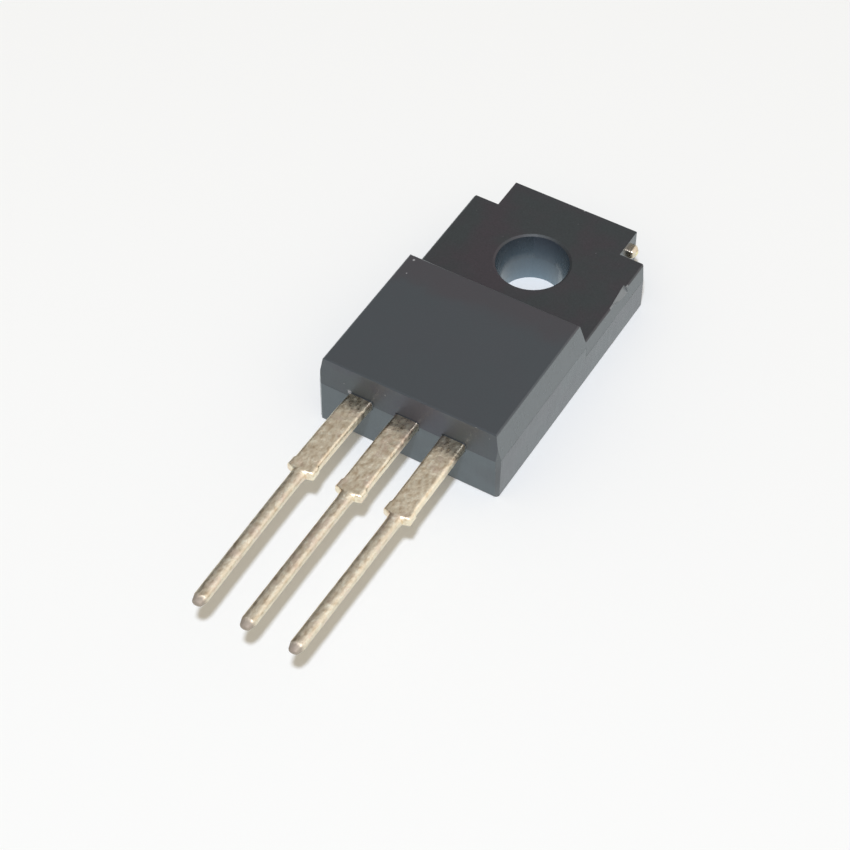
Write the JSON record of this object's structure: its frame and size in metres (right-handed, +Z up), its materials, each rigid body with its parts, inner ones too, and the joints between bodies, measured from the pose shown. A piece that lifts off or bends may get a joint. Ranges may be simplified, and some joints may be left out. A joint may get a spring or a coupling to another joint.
{
  "type": "power transistor",
  "caption": "Fully moulded power transistor: flat plastic case with a thinner tab, a mounting hole and corner notches, and a row of straight tinned leads.",
  "frame": {"origin": "on the mounting hole's axis, at the mounting face", "axes": "+X across the leads towards the emitter lead, +Y away from the leads towards the tab's end, +Z up from the mounting face"},
  "size_m": [0.01, 0.0308, 0.0043],
  "materials": {
    "case": "dark grey moulding compound with a fine spark-eroded texture",
    "lead_frame": "solder-dipped copper sheet, dull tan with brown mottling",
    "solder": "soft solder",
    "die": "polished silicon",
    "bond_wire": "drawn aluminium wire"
  },
  "bodies": {
    "root": {"case": "case", "collector_frame": "lead_frame", "base_lead": "lead_frame", "emitter_lead": "lead_frame", "die_solder": "solder", "die": "die", "base_wire": "bond_wire", "emitter_wire_inner": "bond_wire", "emitter_wire_outer": "bond_wire"}
  },
  "joints": []
}
